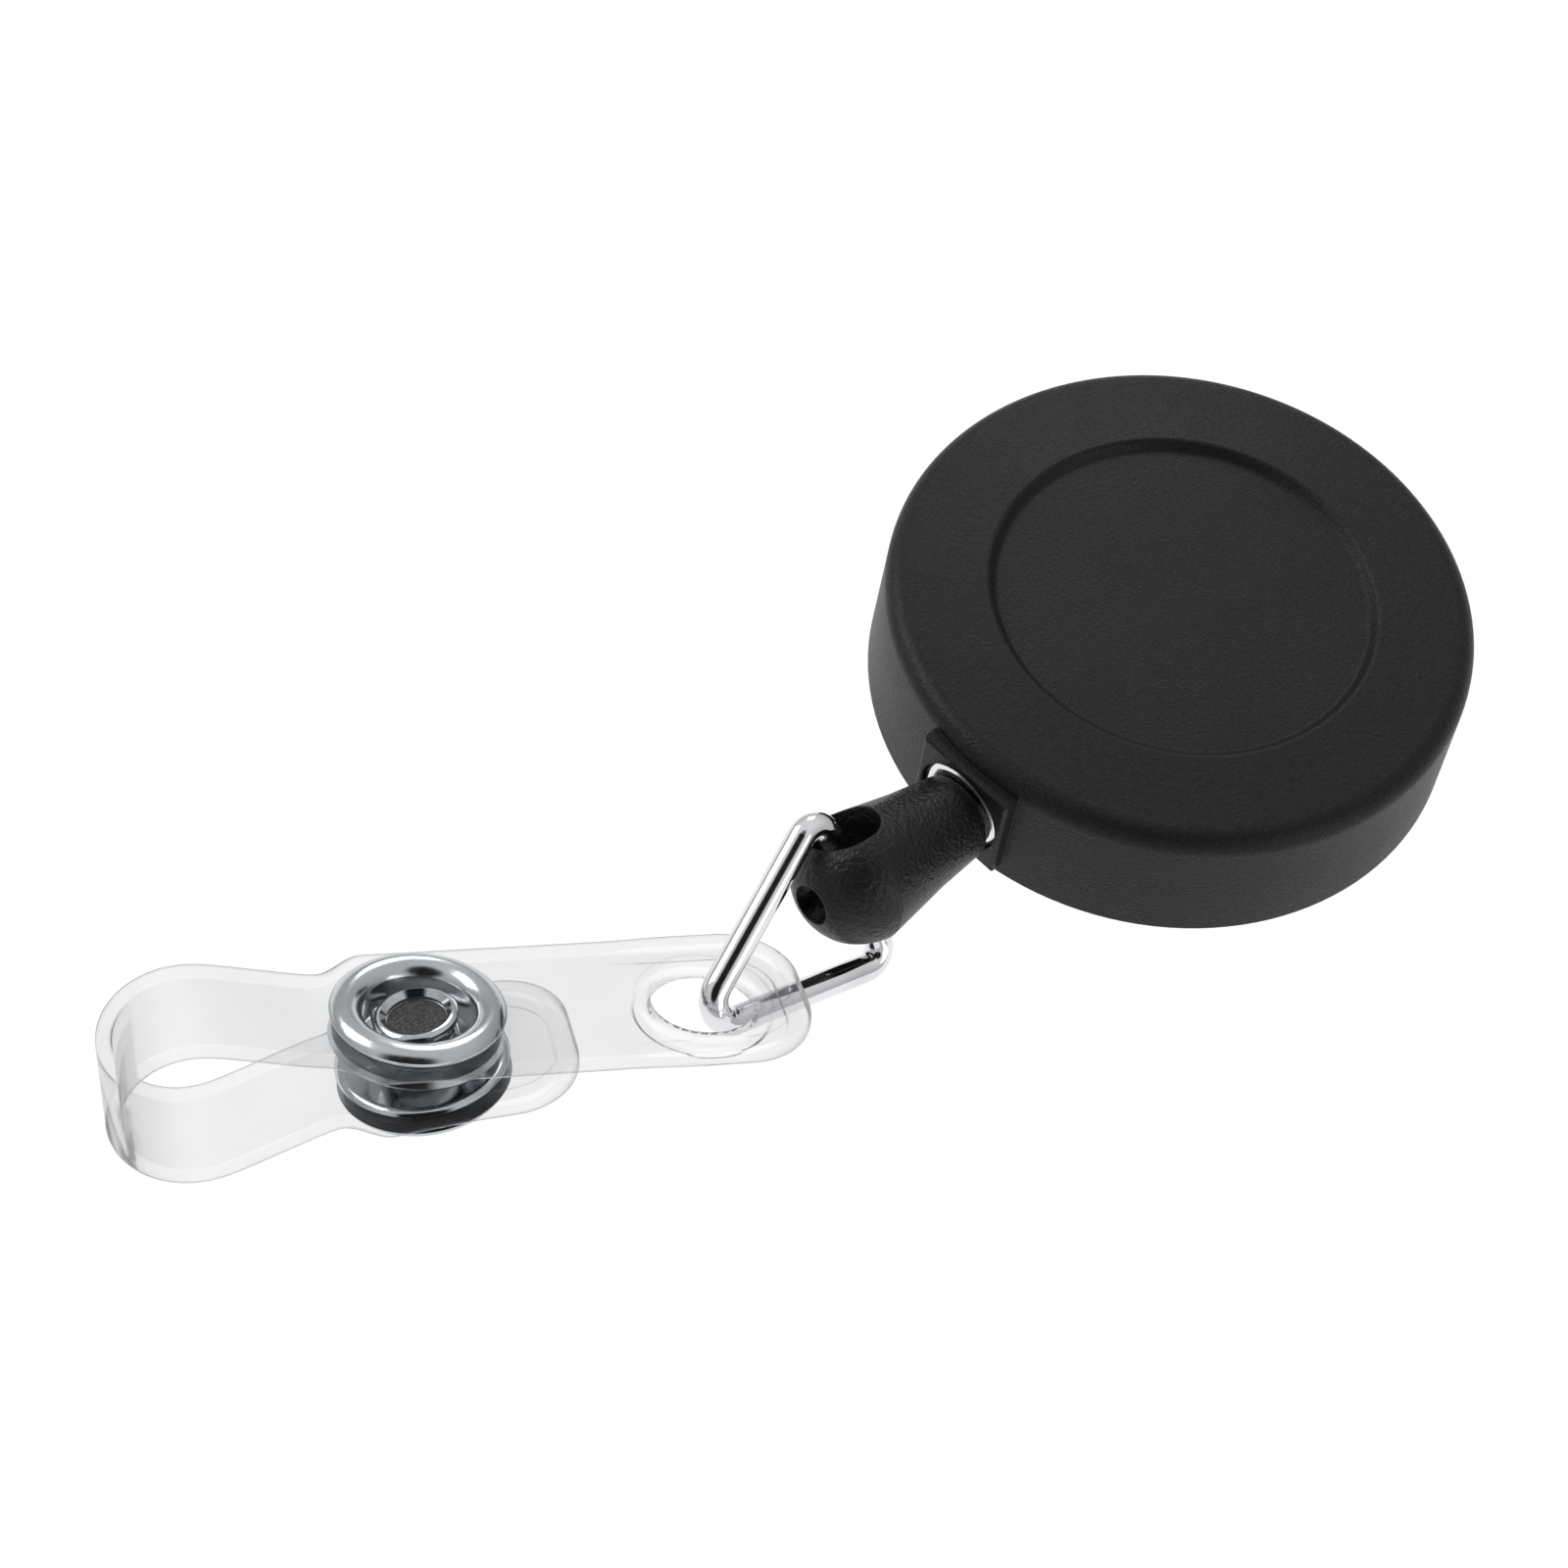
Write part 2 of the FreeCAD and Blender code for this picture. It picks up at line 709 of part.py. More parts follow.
def strap_fold():
    """Teardrop fold that joins the two legs, drawn from the side and padded to the neck's width."""
    body = new_body("strap_fold")
    sketch = new_sketch(body, "XZ_Plane")
    centre_x = "-(snap_from_ring_hole + fold_from_snap)"
    centre_z = "-(strap_thickness + strap_gap / 2 + fold_drop)"

    def upper_turn(radius):
        return (centre_x + " + (" + radius + ") * cos(fold_upper_angle)",
                centre_z + " + (" + radius + ") * sin(fold_upper_angle)")

    def lower_turn(radius):
        return (centre_x + " + (" + radius + ") * cos(fold_lower_angle)",
                centre_z + " - (" + radius + ") * sin(fold_lower_angle)")

    outer = "fold_radius"
    inner = "fold_radius - strap_thickness"
    draw_outline(sketch, [
        (NECK, "0"),
        upper_turn(outer),
        (centre_x + " - fold_radius", centre_z, outer, "right"),
        (*lower_turn(outer), outer, "right"),
        flap_neck("-2 * strap_thickness - strap_gap"),
        flap_neck("-strap_thickness - strap_gap"),
        lower_turn(inner),
        (centre_x + " - (" + inner + ")", centre_z, inner, "left"),
        (*upper_turn(inner), inner, "left"),
        (NECK, "-strap_thickness"),
    ])
    extrude(body, sketch, "strap_neck", midplane=True)
    middle = Placement(Vector(0, value("strap_offset"), 0), Rotation())
    body.Placement = strap_placement().multiply(middle)


# ---------------------------------------------------------------- snap fastener


def snap_socket_ring():
    """Open rolled ring on the long leg, with the tube that passes through the leg."""
    body = revolve("snap_socket_ring", [
        ("snap_opening", "-strap_thickness"),
        ("snap_tube", "-strap_thickness"),
        ("snap_tube", "0"),
        ("snap_radius - snap_rim / 4", "0"),
        ("snap_radius", "snap_rim / 2", "snap_rim", "right"),
        ("(snap_radius + snap_opening) / 2", "snap_rim", "snap_rim", "right"),
        ("snap_opening", "snap_rim / 3", "snap_rim", "right"),
    ])
    body.Placement = snap_placement()


def snap_socket_base():
    """Ring under the long leg that the socket's tube is riveted to."""
    body = revolve("snap_socket_base", [
        ("snap_base_bore", "-strap_thickness - snap_base"),
        ("snap_radius - snap_base / 2", "-strap_thickness - snap_base"),
        ("snap_radius", "-strap_thickness - snap_base / 2", "snap_base", "right"),
        ("snap_radius - snap_base / 3", "-strap_thickness"),
        ("snap_base_bore", "-strap_thickness"),
    ])
    body.Placement = snap_placement()


def snap_spring():
    """Two bent spring wires in the socket that grip the stud under its head."""
    reach = value("snap_wire_reach")
    radius = value("snap_wire")
    height = -value("snap_wire_depth")
    limb_end = 1.2 * reach
    half_limb = 0.75 * reach
    limbs = []
    for side in (1, -1):
        points = [
            Vector(side * reach / 2, -limb_end, height),
            Vector(side * reach, -half_limb, height),
            Vector(side * reach, half_limb, height),
            Vector(side * reach / 2, limb_end, height),
        ]
        limbs.append(sweep_round(rounded_path(points, [2 * radius, 2 * radius]), radius))
    add_feature("snap_spring", Part.makeCompound(limbs), snap_placement())


def snap_stud():
    """Hollow flared stud on the flap, with its flange between the two legs."""
    foot = "-strap_thickness - strap_gap"
    body = revolve("snap_stud", [
        ("post_shank + shank_gap", foot),
        ("snap_radius - stud_flange / 2", foot),
        ("snap_radius", foot + " + stud_flange / 2", "stud_flange", "right"),
        ("snap_radius - stud_flange", foot + " + stud_flange", "stud_flange", "right"),
        ("stud_neck", foot + " + stud_flange"),
        ("stud_neck", "-snap_wire_depth + 3 * snap_wire"),
        ("stud_head", "-snap_wire"),
        ("stud_head", "stud_rise / 2"),
        ("(stud_head + stud_bore) / 2", "stud_rise", "stud_rise * 3 / 2", "right"),
        ("stud_bore", "0"),
        ("stud_bore", foot + " + stud_floor + stud_skin"),
        ("0", foot + " + stud_floor + stud_skin"),
        ("0", foot + " + stud_floor"),
        ("post_shank + shank_gap", foot + " + stud_floor"),
    ])
    body.Placement = flap_placement()


def snap_post_cap():
    """Cap under the flap, with the shank that rivets the stud on."""
    skin = "-2 * strap_thickness - strap_gap"
    body = revolve("snap_post_cap", [
        ("0", skin + " - post_cap"),
        ("snap_radius - post_cap", skin + " - post_cap"),
        ("snap_radius", skin, "post_cap * 3 / 2", "right"),
        ("post_shank", skin),
        ("post_shank", "stud_floor - strap_thickness - strap_gap - shank_gap"),
        ("0", "stud_floor - strap_thickness - strap_gap - shank_gap"),
    ])
    body.Placement = flap_placement()


# ---------------------------------------------------------------- belt clip


def belt_clip_plate():
    """Spring steel plate flat on the back, with the bend that carries the tongue."""
    body = new_body("belt_clip_plate")
    sketch = new_sketch(body, "YZ_Plane")
    draw_outline(sketch, [
        ("-clip_plate_end", "-clip_sheet"),
        ("clip_bend_place", "-clip_sheet"),
        ("clip_bend_place + clip_bend - clip_sheet", "-clip_bend", "clip_bend - clip_sheet", "left"),
        ("clip_bend_place", "clip_sheet - 2 * clip_bend", "clip_bend - clip_sheet", "left"),
        ("clip_bend_place", "-2 * clip_bend"),
        ("clip_bend_place + clip_bend", "-clip_bend", "clip_bend", "right"),
        ("clip_bend_place", "0", "clip_bend", "right"),
        ("-clip_plate_end", "0"),
    ])
    extrude(body, sketch, "clip_width", midplane=True)
    hole = new_sketch(body, "XY_Plane")
    draw_circle(hole, "0", "0", "rivet_radius + rivet_gap")
    cut_pocket(body, hole, "4 * clip_sheet", midplane=True)
    width = value("clip_width / 2")
    end = Vector(0, -value("clip_plate_end"), -value("clip_sheet / 2"))
    round_edges(body, "2 * clip_sheet", [end + Vector(width, 0, 0), end - Vector(width, 0, 0)])


def belt_clip_tongue():
    """The clip's free arm: it closes on the plate near its tip and then turns outwards."""
    body = new_body("belt_clip_tongue")
    sketch = new_sketch(body, "YZ_Plane")
    start = "clip_bend_place - clip_joint_gap"
    pinch = "-clip_sheet - clip_pinch"
    draw_outline(sketch, [
        (start, "clip_sheet - 2 * clip_bend"),
        ("-clip_pinch_place", pinch),
        ("-clip_tip_place", pinch + " - clip_tip_drop"),
        ("-clip_tip_place + clip_sheet / 2", pinch + " - clip_tip_drop - clip_sheet"),
        ("-clip_pinch_place + clip_sheet / 4", pinch + " - clip_sheet"),
        (start, "-2 * clip_bend"),
    ])
    extrude(body, sketch, "clip_width", midplane=True)
    width = value("clip_width / 2")
    tip = Vector(0, -value("clip_tip_place - clip_sheet / 4"),
                 value(pinch + " - clip_tip_drop - clip_sheet / 2"))
    round_edges(body, "4 * clip_sheet", [tip + Vector(width, 0, 0), tip - Vector(width, 0, 0)])


def belt_clip_rivet():
    """Rivet through the clip's plate into the case's post."""
    revolve("belt_clip_rivet", [
        ("0", "-clip_sheet - rivet_head"),
        ("rivet_head_radius - rivet_head", "-clip_sheet - rivet_head"),
        ("rivet_head_radius", "-clip_sheet", "2 * rivet_head", "right"),
        ("rivet_radius", "-clip_sheet"),
        ("rivet_radius", "rivet_depth"),
        ("0", "rivet_depth"),
    ])


# ---------------------------------------------------------------- build and write


def build_all():
    """Make every sub-part of the badge reel."""
    front_cover()
    rear_cover()
    outlet_eyelet()
    spool()
    spool_lid()
    power_spring()
    cord_coil()
    cord_run()
    cord_knot()
    cord_end_bullet()
    wire_ring()
    strap_legs()
    strap_fold()
    snap_socket_ring()
    snap_socket_base()
    snap_spring()
    snap_stud()
    snap_post_cap()
    belt_clip_plate()
    belt_clip_tongue()
    belt_clip_rivet()
    doc.recompute()


def check_document():
    """Stop if any object failed to compute."""
    for item in doc.Objects:
        if "Invalid" in item.State or "Error" in item.State:
            raise RuntimeError(f"{item.Label}: {item.State}")


def sub_parts():
    """The objects that are whole pieces: bodies, the knot and the swept features."""
    kinds = ("PartDesign::Body", "Part::Sphere", "Part::Feature")
    return [item for item in doc.Objects if item.TypeId in kinds]


def write_parts():
    """Check each piece's shape, then write one STEP file for each."""
    pieces = sub_parts()
    for piece in pieces:
        if piece.Shape.isNull() or not piece.Shape.isValid():
            raise RuntimeError(f"{piece.Label}: bad shape")
    os.makedirs("parts", exist_ok=True)
    for piece in pieces:
        piece.Shape.exportStep(f"parts/{piece.Label}.step")


fill_sheet()
build_all()
check_document()
write_parts()
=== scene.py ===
"""Looks for the retractable badge reel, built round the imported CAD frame. Metres throughout."""
import json
import math

import bmesh
import bpy
import numpy as np
from mathutils import Matrix, Vector
from mathutils.geometry import delaunay_2d_cdt


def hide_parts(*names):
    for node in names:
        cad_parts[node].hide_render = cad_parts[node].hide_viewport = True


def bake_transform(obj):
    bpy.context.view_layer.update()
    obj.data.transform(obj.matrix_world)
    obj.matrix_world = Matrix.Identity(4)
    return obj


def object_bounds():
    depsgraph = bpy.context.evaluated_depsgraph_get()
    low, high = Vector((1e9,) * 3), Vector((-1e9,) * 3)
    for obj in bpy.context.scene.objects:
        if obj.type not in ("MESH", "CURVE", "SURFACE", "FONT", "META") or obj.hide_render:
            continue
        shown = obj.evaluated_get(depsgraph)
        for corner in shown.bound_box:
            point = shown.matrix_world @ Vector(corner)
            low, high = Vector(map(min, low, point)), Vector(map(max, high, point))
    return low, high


MM = 0.001

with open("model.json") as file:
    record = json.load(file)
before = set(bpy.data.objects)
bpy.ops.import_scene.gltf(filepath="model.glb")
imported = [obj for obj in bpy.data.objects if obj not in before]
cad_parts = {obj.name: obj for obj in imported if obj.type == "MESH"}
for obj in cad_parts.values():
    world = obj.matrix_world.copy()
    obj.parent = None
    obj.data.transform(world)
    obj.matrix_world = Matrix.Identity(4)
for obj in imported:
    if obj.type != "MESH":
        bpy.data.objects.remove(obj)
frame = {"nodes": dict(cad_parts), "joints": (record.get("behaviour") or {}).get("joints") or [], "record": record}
cad_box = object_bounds()
joints = {joint["name"]: joint for joint in frame["joints"]}
mounts = {mount["name"]: mount for mount in frame["record"]["mounts"]}


# ---------------------------------------------------------------- material helpers


class Nodes:
    """A small wrapper that adds nodes to one material and links them by name."""

    def __init__(self, name):
        self.material = bpy.data.materials.new(name)
        self.material.use_nodes = True
        self.tree = self.material.node_tree
        self.tree.nodes.clear()
        self.output = self.add("ShaderNodeOutputMaterial")
        self.surface = self.add("ShaderNodeBsdfPrincipled")
        self.link(self.surface.outputs["BSDF"], self.output.inputs["Surface"])
        self.coords = self.add("ShaderNodeTexCoord").outputs["Object"]

    def add(self, kind, **settings):
        node = self.tree.nodes.new(kind)
        for key, setting in settings.items():
            setattr(node, key, setting)
        return node

    def link(self, source, target):
        self.tree.links.new(source, target)

    def put(self, name, setting):
        self.surface.inputs[name].default_value = setting

    def noise(self, size, detail=2.0, roughness=0.5, vector=None):
        """Noise whose features are about size metres across."""
        node = self.add("ShaderNodeTexNoise")
        node.inputs["Scale"].default_value = 1.0 / size
        node.inputs["Detail"].default_value = detail
        node.inputs["Roughness"].default_value = roughness
        self.link(vector or self.coords, node.inputs["Vector"])
        return node.outputs["Fac"]

    def ramp(self, source, low, high, low_out, high_out):
        """Map source from low..high to low_out..high_out, held at the ends."""
        node = self.add("ShaderNodeMapRange")
        for key, setting in zip(("From Min", "From Max", "To Min", "To Max"), (low, high, low_out, high_out)):
            node.inputs[key].default_value = setting
        self.link(source, node.inputs["Value"])
        return node.outputs["Result"]

    def math(self, operation, first, second):
        node = self.add("ShaderNodeMath", operation=operation)
        for socket, term in zip(node.inputs, (first, second)):
            if isinstance(term, (int, float)):
                socket.default_value = term
            else:
                self.link(term, socket)
        return node.outputs[0]

    def vector(self, operation, first, second=None):
        """A vector sum or product; the scalar ones give their value."""
        node = self.add("ShaderNodeVectorMath", operation=operation)
        self.link(first, node.inputs[0])
        if second is not None:
            node.inputs[1].default_value = second
        return node.outputs["Value" if operation in ("DOT_PRODUCT", "LENGTH") else "Vector"]

    def colour(self, source, dark, light):
        """Mix two colours by source."""
        node = self.add("ShaderNodeMix", data_type="RGBA")
        node.inputs[6].default_value = (*dark, 1)
        node.inputs[7].default_value = (*light, 1)
        self.link(source, node.inputs[0])
        return node.outputs[2]

    def blend_colours(self, source, first, second):
        """Mix two colour outputs by source."""
        node = self.add("ShaderNodeMix", data_type="RGBA")
        self.link(source, node.inputs[0])
        self.link(first, node.inputs[6])
        self.link(second, node.inputs[7])
        return node.outputs[2]

    def bump(self, height, depth, strength=1.0, after=None):
        """A bump of the given depth in metres; returns the normal."""
        node = self.add("ShaderNodeBump")
        node.inputs["Strength"].default_value = strength
        node.inputs["Distance"].default_value = depth
        self.link(height, node.inputs["Height"])
        if after is not None:
            self.link(after, node.inputs["Normal"])
        return node.outputs["Normal"]

    def rounded(self, radius):
        """A normal that rounds hard edges."""
        node = self.add("ShaderNodeBevel", samples=6)
        node.inputs["Radius"].default_value = radius
        return node.outputs["Normal"]


def moulded_plastic(name, dark, light, grain, depth, roughness, edge, shine):
    """Black moulded plastic with a pebble grain of the given size."""
    nodes = Nodes(name)
    pebble = nodes.noise(grain, 2.0, 0.6)
    patches = nodes.noise(60 * grain, 3.0)
    shade = nodes.colour(nodes.ramp(pebble, 0.35, 0.7, 0, 1), dark, light)
    nodes.link(shade, nodes.surface.inputs["Base Color"])
    uneven = nodes.ramp(patches, 0.3, 0.7, -0.04, 0.04)
    grainy = nodes.ramp(pebble, 0.3, 0.7, roughness + 0.08, roughness)
    rough = nodes.math("ADD", uneven, grainy)
    nodes.link(rough, nodes.surface.inputs["Roughness"])
    nodes.link(nodes.bump(pebble, depth, 1.0, nodes.rounded(edge)), nodes.surface.inputs["Normal"])
    nodes.put("Specular IOR Level", shine)
    return nodes.material


def polished_metal(name, colour, roughness, streak):
    """Plated metal with faint polishing marks and uneven roughness."""
    nodes = Nodes(name)
    nodes.put("Metallic", 1.0)
    marks = nodes.noise(streak, 4.0, 0.65)
    dulling = nodes.noise(8 * streak, 2.0)
    low = tuple(0.86 * channel for channel in colour)
    shade = nodes.colour(nodes.ramp(dulling, 0.3, 0.7, 0, 1), low, colour)
    nodes.link(shade, nodes.surface.inputs["Base Color"])
    nodes.link(nodes.ramp(marks, 0.3, 0.75, roughness, roughness + 0.08), nodes.surface.inputs["Roughness"])
    nodes.link(nodes.bump(marks, 0.002 * MM, 0.6), nodes.surface.inputs["Normal"])
    return nodes.material


def clear_vinyl(name):
    """Clear soft vinyl: see-through, with painted shade that greys it where it is seen edge-on, faintly wavy, with
    a soft gloss.
    """
    nodes = Nodes(name)
    waves = nodes.noise(4 * MM, 2.0, 0.4)
    fine = nodes.noise(0.7 * MM, 2.0)
    normal = nodes.bump(fine, 0.003 * MM, 1.0, nodes.bump(waves, 0.04 * MM))
    slant = nodes.add("ShaderNodeLayerWeight")
    slant.inputs["Blend"].default_value = 0.5
    milk = nodes.ramp(nodes.noise(6 * MM, 3.0), 0.3, 0.7, 0.05, 0.09)
    # painted shade: more opaque grey towards grazing angles, standing in for the refraction of darker surroundings
    # at the strap's edges
    edge_on_painted_shade = nodes.ramp(slant.outputs["Facing"], 0.25, 0.9, 0, 0.50)
    nodes.link(nodes.math("ADD", milk, edge_on_painted_shade), nodes.surface.inputs["Alpha"])
    nodes.put("Base Color", (0.40, 0.41, 0.43, 1))
    nodes.put("IOR", 1.45)
    haze = nodes.ramp(nodes.noise(3 * MM, 3.0), 0.35, 0.7, 0.08, 0.16)
    nodes.link(haze, nodes.surface.inputs["Roughness"])
    nodes.link(normal, nodes.surface.inputs["Normal"])
    gloss = nodes.add("ShaderNodeBsdfGlossy")
    nodes.link(haze, gloss.inputs["Roughness"])
    nodes.link(normal, gloss.inputs["Normal"])
    share = nodes.add("ShaderNodeFresnel")
    share.inputs["IOR"].default_value = 1.12
    nodes.link(normal, share.inputs["Normal"])
    mixed = nodes.add("ShaderNodeMixShader")
    nodes.link(share.outputs[0], mixed.inputs["Fac"])
    nodes.link(nodes.surface.outputs["BSDF"], mixed.inputs[1])
    nodes.link(gloss.outputs[0], mixed.inputs[2])
    nodes.link(mixed.outputs[0], nodes.output.inputs["Surface"])
    return nodes.material


def stud_metal(name, metal, place, axis, radius):
    """Plated metal with a bore whose floor, centred on the given place, is painted near-black as the shade inside
    the hole, and pitted.
    """
    nodes = Nodes(name)
    marks = nodes.noise(0.3 * MM, 4.0, 0.65)
    pits = nodes.noise(0.14 * MM, 3.0, 0.7)
    offset = nodes.vector("SUBTRACT", nodes.coords, place)
    height = nodes.vector("DOT_PRODUCT", offset, axis)
    reach = nodes.vector("LENGTH", nodes.vector("CROSS_PRODUCT", offset, axis))
    inside = nodes.ramp(reach, radius * 1.02, radius * 0.98, 0, 1)
    below = nodes.ramp(height, 0.15 * MM, 0.05 * MM, 0, 1)
    # painted shade: the bore's floor is painted dark, rough and non-metallic in place of the shade that falls
    # inside the hole; the pits are real texture
    bore_floor_painted_shade = nodes.math("MULTIPLY", inside, below)
    speckled_painted_shade = nodes.colour(nodes.ramp(pits, 0.45, 0.62, 0, 1), (0.008, 0.008, 0.009), (0.06, 0.06, 0.062))
    bright = nodes.colour(nodes.ramp(marks, 0.3, 0.7, 0, 1), tuple(0.86 * c for c in metal), metal)
    nodes.link(nodes.blend_colours(bore_floor_painted_shade, bright, speckled_painted_shade), nodes.surface.inputs["Base Color"])
    nodes.link(nodes.ramp(bore_floor_painted_shade, 0, 1, 1, 0.1), nodes.surface.inputs["Metallic"])
    nodes.link(nodes.ramp(bore_floor_painted_shade, 0, 1, 0.1, 0.6), nodes.surface.inputs["Roughness"])
    nodes.link(nodes.bump(pits, 0.004 * MM, 0.6), nodes.surface.inputs["Normal"])
    return nodes.material


def braided_cord(name):
    """Black braided nylon."""
    nodes = Nodes(name)
    wave = nodes.add("ShaderNodeTexWave", wave_type="BANDS", bands_direction="DIAGONAL")
    wave.inputs["Scale"].default_value = 900
    wave.inputs["Distortion"].default_value = 1.5
    nodes.link(nodes.coords, wave.inputs["Vector"])
    strands = wave.outputs["Fac"]
    shade = nodes.colour(strands, (0.004, 0.004, 0.005), (0.03, 0.03, 0.033))
    nodes.link(shade, nodes.surface.inputs["Base Color"])
    nodes.link(nodes.bump(strands, 0.06 * MM, 1.0), nodes.surface.inputs["Normal"])
    nodes.put("Roughness", 0.6)
    return nodes.material


def satin_plastic(name, colour):
    """Plain moulded plastic of the hidden working parts."""
    nodes = Nodes(name)
    cloud = nodes.noise(1.5 * MM, 3.0)
    low = tuple(0.85 * channel for channel in colour)
    nodes.link(nodes.colour(cloud, low, colour), nodes.surface.inputs["Base Color"])
    nodes.link(nodes.ramp(cloud, 0.3, 0.7, 0.35, 0.5), nodes.surface.inputs["Roughness"])
    nodes.link(nodes.bump(nodes.noise(0.3 * MM), 0.01 * MM, 0.5), nodes.surface.inputs["Normal"])
    return nodes.material


def dress(node, material):
    """Give a CAD node its one material."""
    mesh = frame["nodes"][node].data
    mesh.materials.clear()
    mesh.materials.append(material)


# ---------------------------------------------------------------- the strap

# The strap's sizes, in the frame whose origin is the middle of its fold.
LEG_WIDTH = 9.7 * MM
NECK_WIDTH = 6.8 * MM
THICKNESS = 0.8 * MM
LEG_LEVEL = 2.72 * MM
FOLD_RADIUS = 3.94 * MM
FOLD_UPPER_ANGLE = math.radians(78.4)
FOLD_LOWER_ANGLE = math.radians(63.7)
NECK_PLACE = 6.26 * MM
NECK_FLARE = 2.6 * MM
SNAP_PLACE = 10.96 * MM
SNAP_FROM_NECK = 4.7 * MM
RING_HOLE_PLACE = 25.36 * MM
LONG_END = 30.71 * MM
FLAP_LENGTH = 12.4 * MM
FLAP_DROP = 3.0 * MM
FLAP_TILT = math.radians(9.5)
FLAP_PIVOT = 0.4 * MM
STUD_FLOOR = 0.2 * MM
STUD_BORE = 1.47 * MM
GRIP_LEVEL = 2.72 * MM
HOLE_SHIFT = -0.48 * MM
LONG_END_ROUNDING = 3.65 * MM
FLAP_END_ROUNDING = 3.6 * MM
RING_HOLE = 2.65 * MM
SOCKET_HOLE = 3.1 * MM
SHANK_HOLE = 1.15 * MM


def strap_frame():
    """The matrix of the strap's frame: origin at the fold, X towards the ring, Z out of the long leg."""
    across = Vector(joints["snap_open"]["axis"]).normalized()
    along = -Vector(mounts["badge_loop"]["axis"]).normalized()
    up = along.cross(across).normalized()
    turn = Matrix((along, across, up)).transposed().to_4x4()
    return Matrix.Translation(Vector(joints["snap_open"]["pos_m"])) @ turn


def strap_path():
    """The strap's middle line from the ring end, round the fold, to the flap's end: points and normals."""
    step = 0.1 * MM
    turn = np.linspace(FOLD_UPPER_ANGLE, 2 * math.pi - FOLD_LOWER_ANGLE, 200)
    arc = FOLD_RADIUS * np.stack([np.cos(turn), np.sin(turn)], 1)
    along = np.array([math.cos(FLAP_TILT), math.sin(FLAP_TILT)])
    under_snap = np.array([SNAP_PLACE, GRIP_LEVEL]) + FLAP_DROP * np.array([along[1], -along[0]])
    flap_neck = under_snap - SNAP_FROM_NECK * along
    flap_end = flap_neck + FLAP_LENGTH * along
    corners = np.vstack([[LONG_END, LEG_LEVEL], [NECK_PLACE, LEG_LEVEL], arc, flap_neck, flap_end])
    lengths = np.concatenate([[0], np.cumsum(np.linalg.norm(np.diff(corners, axis=0), axis=1))])
    places = np.arange(0, lengths[-1] + step, step)
    points = np.stack([np.interp(places, lengths, corners[:, k]) for k in (0, 1)], 1)
    reach = 24
    kernel = np.exp(-0.5 * (np.arange(-reach, reach + 1) * step / (0.8 * MM)) ** 2)
    kernel /= kernel.sum()
    before = points[0] + (points[0] - points[1]) * np.arange(reach, 0, -1)[:, None]
    after = points[-1] + (points[-1] - points[-2]) * np.arange(1, reach + 1)[:, None]
    padded = np.vstack([before, points, after])
    smooth = np.stack([np.convolve(padded[:, k], kernel, "valid") for k in (0, 1)], 1)
    tangent = np.gradient(smooth, axis=0)
    tangent /= np.linalg.norm(tangent, axis=1)[:, None]
    outward = np.stack([tangent[:, 1], -tangent[:, 0]], 1)
    return places, smooth, outward, lengths[-1]


def half_width(place, total):
    """Half the strap's width at a place along it."""
    flap_neck = total - FLAP_LENGTH
    long_neck = LONG_END - NECK_PLACE
    if place < long_neck - NECK_FLARE or place > flap_neck + NECK_FLARE:
        wide = 1.0
    elif long_neck < place < flap_neck:
        wide = 0.0
    else:
        share = min(abs(place - long_neck), abs(place - flap_neck)) / NECK_FLARE
        wide = share * share * (3 - 2 * share)
    half = (NECK_WIDTH + (LEG_WIDTH - NECK_WIDTH) * wide) / 2
    for distance, rounding in ((place, LONG_END_ROUNDING), (total - place, FLAP_END_ROUNDING)):
        if distance < rounding:
            half -= rounding - math.sqrt(max(rounding ** 2 - (rounding - distance) ** 2, 0))
    return half


def strap_outline(total):
    """The flat strap's outline as points that run round it evenly."""
    turn = np.linspace(0, math.pi / 2, 40)
    near = LONG_END_ROUNDING * (1 - np.cos(turn))
    far = total - FLAP_END_ROUNDING * (1 - np.cos(turn[::-1]))
    middle = np.arange(LONG_END_ROUNDING + 0.2 * MM, total - FLAP_END_ROUNDING, 0.2 * MM)
    places = np.concatenate([near, middle, far])
    side = np.array([[place, half_width(place, total)] for place in places])
    loop = np.vstack([side, (side * [1, -1])[::-1]])
    loop = np.vstack([loop, loop[:1]])
    lengths = np.concatenate([[0], np.cumsum(np.linalg.norm(np.diff(loop, axis=0), axis=1))])
    count = int(lengths[-1] / (0.2 * MM))
    even = np.linspace(0, lengths[-1], count, endpoint=False)
    return np.stack([np.interp(even, lengths, loop[:, k]) for k in (0, 1)], 1)


def circle(centre, radius):
    """Points round a hole."""
    count = max(24, int(2 * math.pi * radius / (0.16 * MM)))
    turn = np.linspace(0, 2 * math.pi, count, endpoint=False)
    return np.stack([centre[0] + radius * np.cos(turn), centre[1] + radius * np.sin(turn)], 1)


def distance_to_loop(points, loop):
    """The distance from each point to a closed polyline."""
    start, end = loop, np.roll(loop, -1, axis=0)
    along = end - start
    span = (along ** 2).sum(1)
    best = np.full(len(points), 1.0)
    for first in range(0, len(points), 2000):
        part = points[first:first + 2000, None, :] - start[None]
        share = np.clip((part * along).sum(2) / span, 0, 1)
        gap = np.linalg.norm(part - share[..., None] * along, axis=2)
        best[first:first + 2000] = gap.min(1)
    return best


